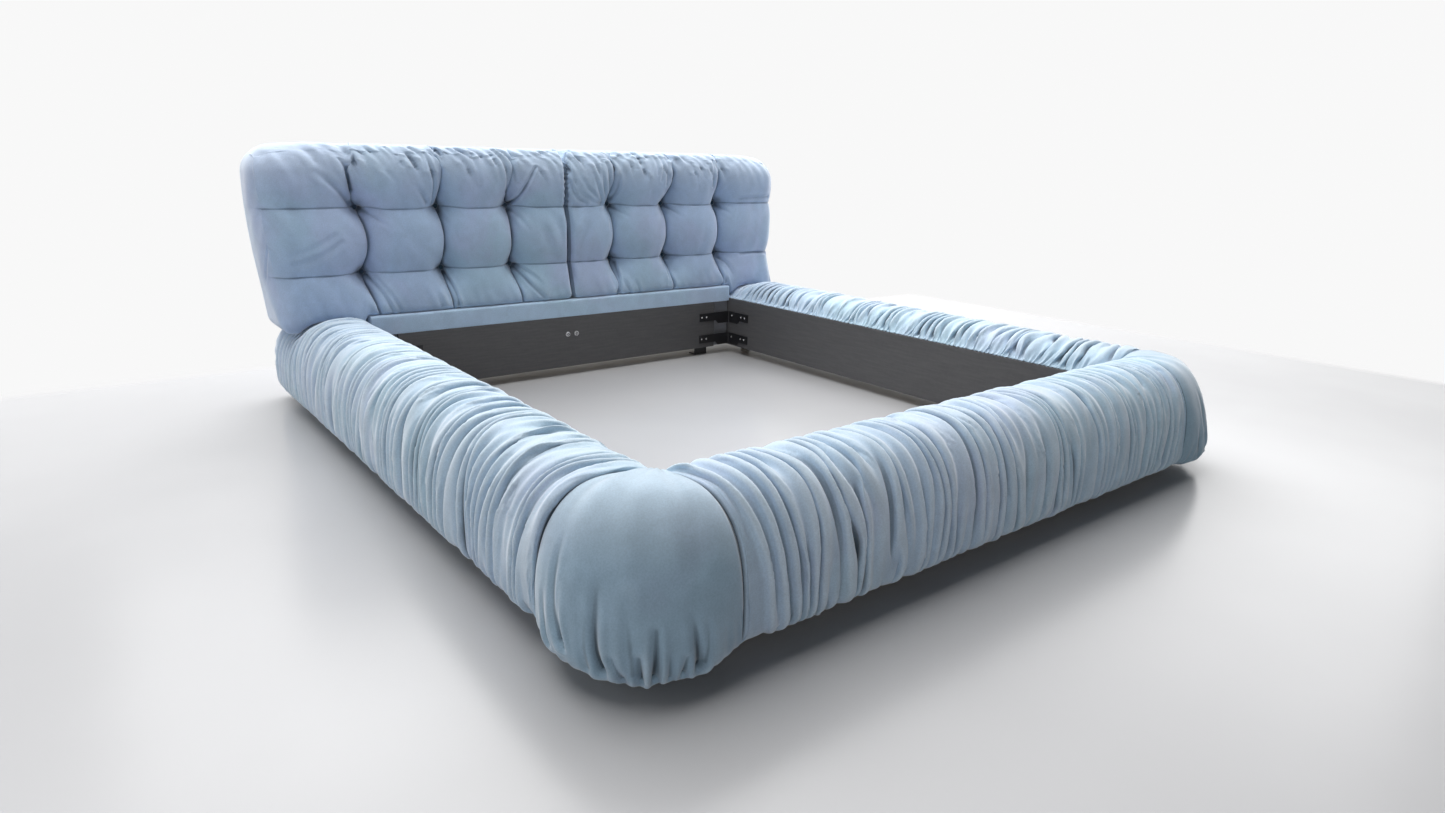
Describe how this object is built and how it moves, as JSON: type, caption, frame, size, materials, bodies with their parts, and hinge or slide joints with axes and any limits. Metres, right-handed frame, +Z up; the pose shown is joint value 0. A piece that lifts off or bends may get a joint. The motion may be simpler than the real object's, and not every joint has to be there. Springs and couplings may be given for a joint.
{
  "type": "upholstered bed",
  "caption": "Low upholstered bed frame: split tufted headboard, fat ruched rolls round an open sunken mattress well, corner brackets and short hidden feet.",
  "frame": {"origin": "on the floor, in the middle of the bed's outer length and width", "axes": "+X across the bed, +Y along it towards the headboard, +Z up"},
  "size_m": [2.532, 2.7186, 1.022],
  "materials": {
    "leather": "dusty blue nubuck leather, matt, cloudy",
    "rail_leather": "the same leather, stretched flat",
    "board": "charcoal laminate on board, satin",
    "timber": "raw plywood and softwood",
    "foam": "cream upholstery foam",
    "black_steel": "black powder coat",
    "bright_steel": "zinc plated steel",
    "plastic": "black moulded plastic",
    "button": "dark blue leather over a button form"
  },
  "bodies": {
    "root": {"bracket_foot_left_lower": "black_steel", "bracket_foot_left_upper": "black_steel", "bracket_foot_right_lower": "black_steel", "bracket_foot_right_upper": "black_steel", "bracket_head_left_lower": "black_steel", "bracket_head_left_upper": "black_steel", "bracket_head_right_lower": "black_steel", "bracket_head_right_upper": "black_steel", "corner_foam_left": "foam", "corner_foam_right": "foam", "foot_base": "timber", "foot_board": "board", "foot_corner_left": "leather", "foot_corner_right": "leather", "foot_foam": "foam", "foot_foot_left": "plastic", "foot_foot_right": "plastic", "foot_roll": "leather", "head_board": "board", "head_bolt_left": "bright_steel", "head_bolt_right": "bright_steel", "head_leg_left": "black_steel", "head_leg_right": "black_steel", "head_rail_beam": "timber", "head_rail_cover": "rail_leather", "headboard_back_left": "timber", "headboard_back_right": "timber", "headboard_foam_left": "foam", "headboard_foam_right": "foam", "headboard_left": "leather", "headboard_post_left_inner": "black_steel", "headboard_post_left_outer": "black_steel", "headboard_post_right_inner": "black_steel", "headboard_post_right_outer": "black_steel", "headboard_right": "leather", "side_base_left": "timber", "side_base_right": "timber", "side_board_left": "board", "side_board_right": "board", "side_foam_left": "foam", "side_foam_right": "foam", "side_foot_left_front": "plastic", "side_foot_left_head": "plastic", "side_foot_right_front": "plastic", "side_foot_right_head": "plastic", "side_roll_left": "leather", "side_roll_right": "leather", "tuft_button_left_lower_inner": "button", "tuft_button_left_lower_middle": "button", "tuft_button_left_lower_outer": "button", "tuft_button_left_upper_inner": "button", "tuft_button_left_upper_middle": "button", "tuft_button_left_upper_outer": "button", "tuft_button_right_lower_inner": "button", "tuft_button_right_lower_middle": "button", "tuft_button_right_lower_outer": "button", "tuft_button_right_upper_inner": "button", "tuft_button_right_upper_middle": "button", "tuft_button_right_upper_outer": "button"}
  },
  "joints": []
}
